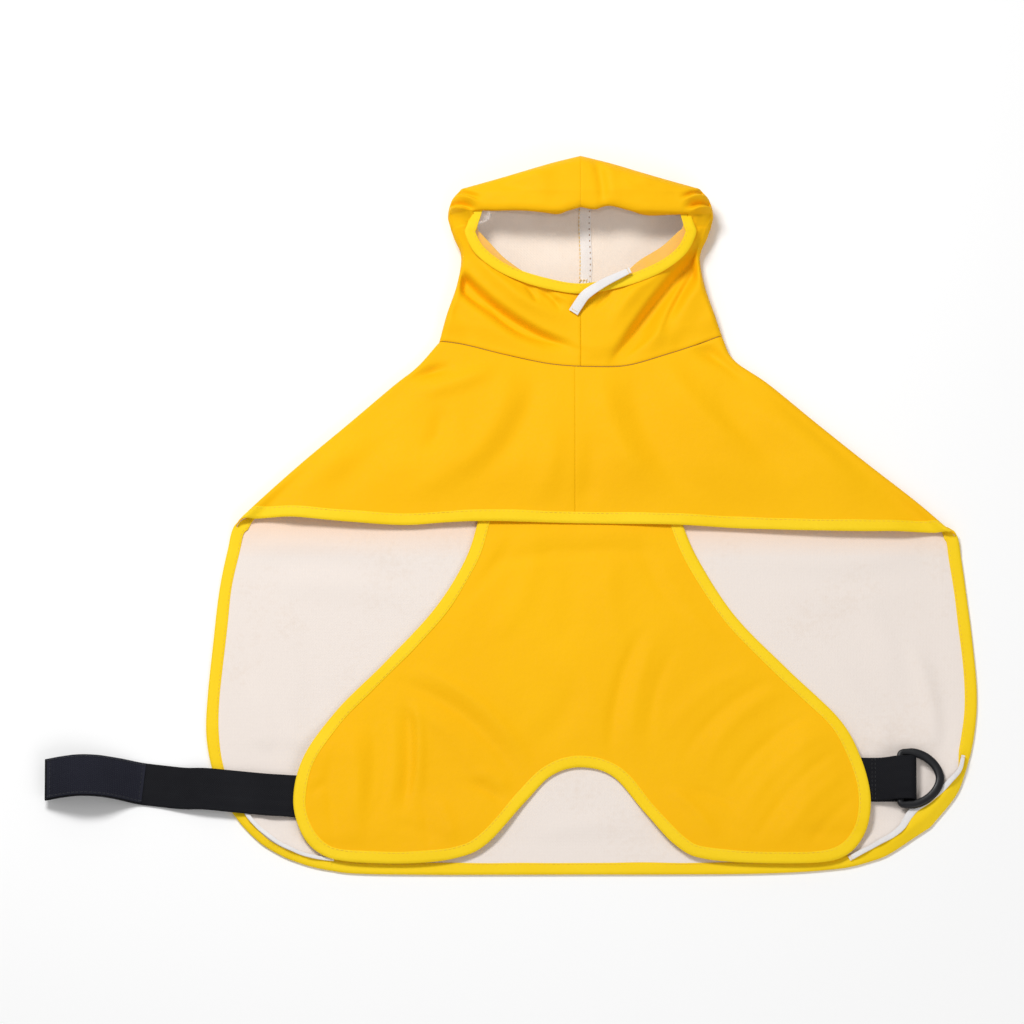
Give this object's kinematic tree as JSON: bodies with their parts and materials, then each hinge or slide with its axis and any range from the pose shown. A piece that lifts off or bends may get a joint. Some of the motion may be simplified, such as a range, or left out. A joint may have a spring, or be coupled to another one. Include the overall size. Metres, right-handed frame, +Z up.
{
  "type": "hooded dog raincoat",
  "caption": "Hooded waterproof dog coat laid out flat, belly side up, with a clear visor, bound edges, belly panel, leg elastics and a hook-and-ring belt.",
  "frame": {"origin": "middle of the coat's footprint, on the surface that it lies on", "axes": "+X across the coat, away from the belt's long end; +Y from the hem towards the hood; +Z up out of the belly side"},
  "size_m": [0.6338, 0.5181, 0.0313],
  "materials": {
    "coated_cloth": "coated, satin, yellow outside and cream inside",
    "binding": "folded woven tape, bright yellow",
    "clear_film": "clear soft film",
    "seam_tape": "heat-sealed white tape",
    "white_elastic": "flat woven elastic",
    "black_webbing": "woven webbing, matt black",
    "hook_tape": "hook fastener tape, black",
    "ring_plastic": "moulded, black"
  },
  "bodies": {
    "coat": {"body": "coated_cloth", "back_binding": "binding", "front_binding": "binding", "belly_panel": "coated_cloth", "belly_binding": "binding", "hood_left": "coated_cloth", "hood_right": "coated_cloth", "hood_seam_tape": "seam_tape", "visor": "clear_film", "visor_binding": "binding", "throat_elastic": "white_elastic", "leg_elastic_left": "white_elastic", "leg_elastic_right": "white_elastic", "belt_long": "black_webbing", "hook_patch": "hook_tape", "belt_loop": "black_webbing", "leash_flap": "coated_cloth", "flap_binding": "binding"},
    "ring": {"belt_ring": "ring_plastic"}
  },
  "joints": [
    {"name": "ring_hinge", "type": "hinge", "parent": "coat", "child": "ring", "pos_m": [0.2641, -0.191, 0.006], "axis": [0, -1, 0], "range_deg": [0, 150]}
  ]
}
